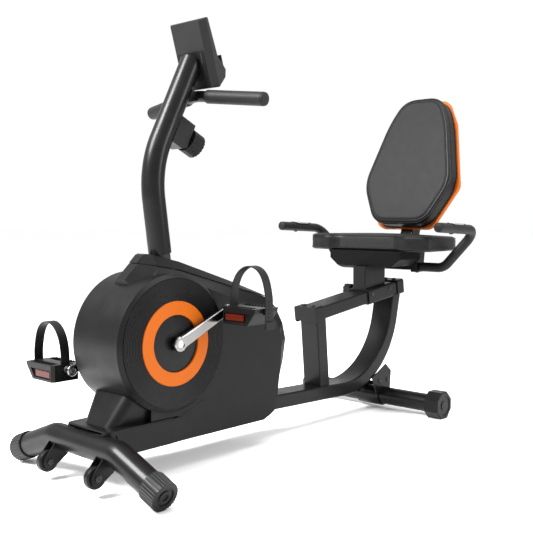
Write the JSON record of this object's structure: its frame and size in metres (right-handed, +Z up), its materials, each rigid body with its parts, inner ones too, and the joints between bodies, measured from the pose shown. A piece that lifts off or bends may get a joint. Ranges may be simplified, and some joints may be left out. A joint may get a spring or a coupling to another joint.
{
  "type": "recumbent exercise bike",
  "caption": "Low step-through recumbent bike: drum housing with side discs and cranks, raised console mast, sliding seat with backrest and side grips.",
  "frame": {"origin": "centre of the bounding box's bottom face, on the floor", "axes": "+X from the front stabiliser to the backrest, +Y to the rider's left-hand side seen from the console's front, away from the belt side, +Z up"},
  "size_m": [1.488, 0.629, 1.0868],
  "materials": {
    "frame_paint": "satin powder coat",
    "inner_steel": "matt",
    "housing_plastic": "fine moulded grain",
    "disc_plastic": "ribbed satin",
    "orange_plastic": "satin",
    "orange_shell": "satin",
    "cap_plastic": "satin",
    "strap_rubber": "satin",
    "wheel_plastic": "satin",
    "grip_foam": "matt foam",
    "console_plastic": "satin",
    "screen": "gloss",
    "key_rubber": "satin",
    "crank_steel": "polished",
    "bright_steel": "zinc plated",
    "pulley_plastic": "satin",
    "belt_rubber": "matt",
    "flywheel_iron": "turned",
    "pad_vinyl": "woven vinyl over foam"
  },
  "bodies": {
    "frame": {"front_stabiliser": "frame_paint", "front_foot_caps": "cap_plastic", "wheel_brackets": "frame_paint", "wheel_pins": "bright_steel", "rear_stabiliser": "frame_paint", "rear_foot_caps": "cap_plastic", "base_rail": "frame_paint", "seat_upright": "frame_paint", "seat_rail": "frame_paint", "seat_rail_caps": "cap_plastic", "rear_gusset": "frame_paint", "mast_socket": "inner_steel", "drive_brackets": "inner_steel", "bearings": "bright_steel", "flywheel_axle": "bright_steel", "drive_belt": "belt_rubber", "housing_left": "housing_plastic", "housing_right": "housing_plastic", "top_cover": "housing_plastic", "base_skirt": "housing_plastic", "side_discs": "disc_plastic", "accent_rings": "orange_plastic", "hub_covers": "disc_plastic", "mast": "frame_paint", "front_handlebar": "frame_paint", "front_grips": "grip_foam", "tension_box": "cap_plastic", "console_back": "console_plastic", "console_front": "console_plastic", "console_screen": "screen", "device_ledge": "console_plastic"},
    "crank": {"crank_axle": "bright_steel", "crank_pulley": "pulley_plastic", "crank_left": "crank_steel", "crank_right": "crank_steel", "pedal_spindles": "bright_steel"},
    "left_pedal": {"pedal_left": "cap_plastic", "pedal_strap_left": "strap_rubber"},
    "right_pedal": {"pedal_right": "cap_plastic", "pedal_strap_right": "strap_rubber"},
    "flywheel_rotor": {"flywheel": "flywheel_iron"},
    "belt_idler": {"idler_wheel": "pulley_plastic"},
    "magnet_arm": {"magnet_bracket": "inner_steel"},
    "tension_dial": {"tension_knob": "cap_plastic"},
    "left_wheel": {"transport_wheel_left": "wheel_plastic"},
    "right_wheel": {"transport_wheel_right": "wheel_plastic"},
    "mode_key": {"button_mode": "key_rubber"},
    "reset_key": {"button_reset": "key_rubber"},
    "seat": {"seat_carriage": "frame_paint", "seat_pan": "frame_paint", "seat_pad": "pad_vinyl", "seat_bolts": "bright_steel", "rear_handlebar": "frame_paint", "rear_grips": "grip_foam", "pulse_plates": "cap_plastic", "handlebar_clamps": "cap_plastic", "backrest_pad": "pad_vinyl", "backrest_shell": "orange_shell", "backrest_bracket": "frame_paint"},
    "seat_lock": {"lock_knob": "cap_plastic"}
  },
  "joints": [
    {"name": "crank_spin", "type": "hinge", "parent": "frame", "child": "crank", "pos_m": [-0.48805, 0, 0.31], "axis": [0, 1, 0], "continuous": true},
    {"name": "left_pedal_spin", "type": "hinge", "parent": "crank", "child": "left_pedal", "pos_m": [-0.33457, -0.18, 0.37833], "axis": [0, 1, 0], "continuous": true},
    {"name": "right_pedal_spin", "type": "hinge", "parent": "crank", "child": "right_pedal", "pos_m": [-0.64153, 0.18, 0.24167], "axis": [0, 1, 0], "continuous": true},
    {"name": "flywheel_spin", "type": "hinge", "parent": "frame", "child": "flywheel_rotor", "pos_m": [-0.20305, 0, 0.265], "axis": [0, 1, 0], "continuous": true},
    {"name": "idler_spin", "type": "hinge", "parent": "frame", "child": "belt_idler", "pos_m": [-0.28858, 0, 0.21206], "axis": [0, 1, 0], "continuous": true},
    {"name": "magnet_swing", "type": "hinge", "parent": "frame", "child": "magnet_arm", "pos_m": [-0.28305, 0, 0.362], "axis": [0, -1, 0], "range_deg": [0, 4]},
    {"name": "tension_turn", "type": "hinge", "parent": "frame", "child": "tension_dial", "pos_m": [-0.43263, 0, 0.82757], "axis": [0.8927, 0, -0.4507], "range_deg": [0, 315]},
    {"name": "left_wheel_spin", "type": "hinge", "parent": "frame", "child": "left_wheel", "pos_m": [-0.71905, -0.093, 0.044], "axis": [0, 1, 0], "continuous": true},
    {"name": "right_wheel_spin", "type": "hinge", "parent": "frame", "child": "right_wheel", "pos_m": [-0.71905, 0.093, 0.044], "axis": [0, 1, 0], "continuous": true},
    {"name": "mode_press", "type": "slide", "parent": "frame", "child": "mode_key", "axis": [-0.9363, 0, -0.3511], "range_m": [0, 0.0015], "stiffness_N_per_m": 400},
    {"name": "reset_press", "type": "slide", "parent": "frame", "child": "reset_key", "axis": [-0.9363, 0, -0.3511], "range_m": [0, 0.0015], "stiffness_N_per_m": 400},
    {"name": "seat_slide", "type": "slide", "parent": "frame", "child": "seat", "axis": [0.9907, 0, 0.1357], "range_m": [-0.175, 0]},
    {"name": "lock_pull", "type": "slide", "parent": "seat", "child": "seat_lock", "axis": [0, 1, 0], "range_m": [-0.011, 0]}
  ],
  "couplings": [
    {"joint": "flywheel_spin", "follows": "crank_spin", "ratio": 6.9412},
    {"joint": "idler_spin", "follows": "crank_spin", "ratio": -8.3264},
    {"joint": "magnet_swing", "follows": "tension_turn", "ratio": 0.0125}
  ]
}
